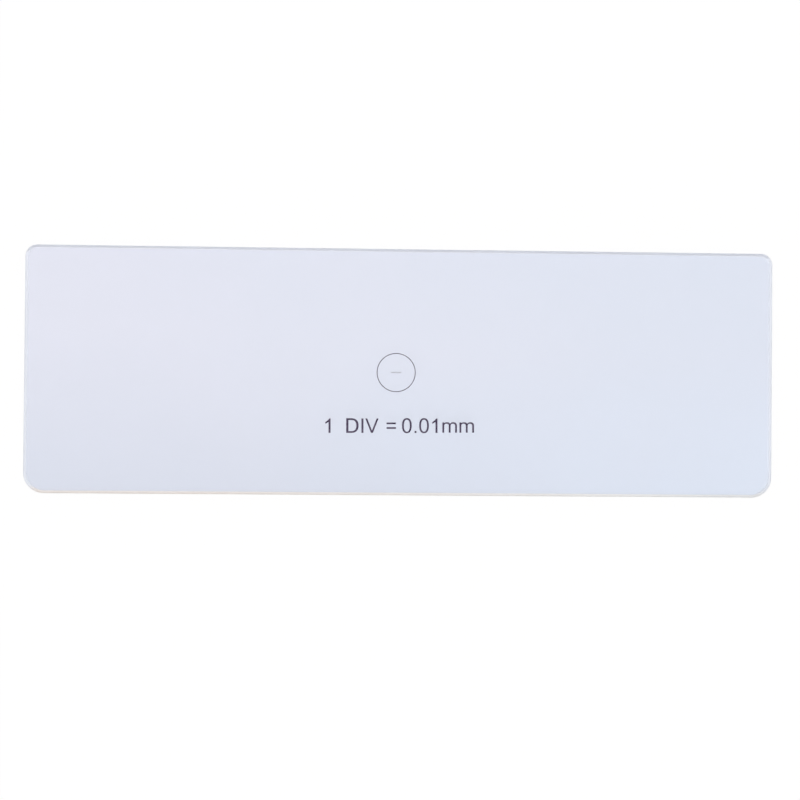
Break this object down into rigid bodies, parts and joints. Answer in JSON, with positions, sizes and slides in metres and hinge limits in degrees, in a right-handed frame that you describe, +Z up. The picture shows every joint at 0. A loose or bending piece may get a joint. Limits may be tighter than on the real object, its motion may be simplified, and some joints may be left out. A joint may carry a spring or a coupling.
{
  "type": "microscope calibration slide",
  "caption": "Thin oblong glass slide with rounded corners and ground edges, carrying a fine ring and a tiny ruled scale near its middle.",
  "frame": {"origin": "centre of the underside", "axes": "+X along the slide, +Y across it towards the edge above the ring, +Z up out of the marked face"},
  "size_m": [0.076, 0.025, 0.001],
  "materials": {
    "clear_glass": "polished faces, finely ground rim, very pale blue",
    "dark_film": "thin dark metal film"
  },
  "bodies": {
    "root": {"glass_slide": "clear_glass", "ring_mark": "dark_film", "scale_lines": "dark_film"}
  },
  "joints": []
}
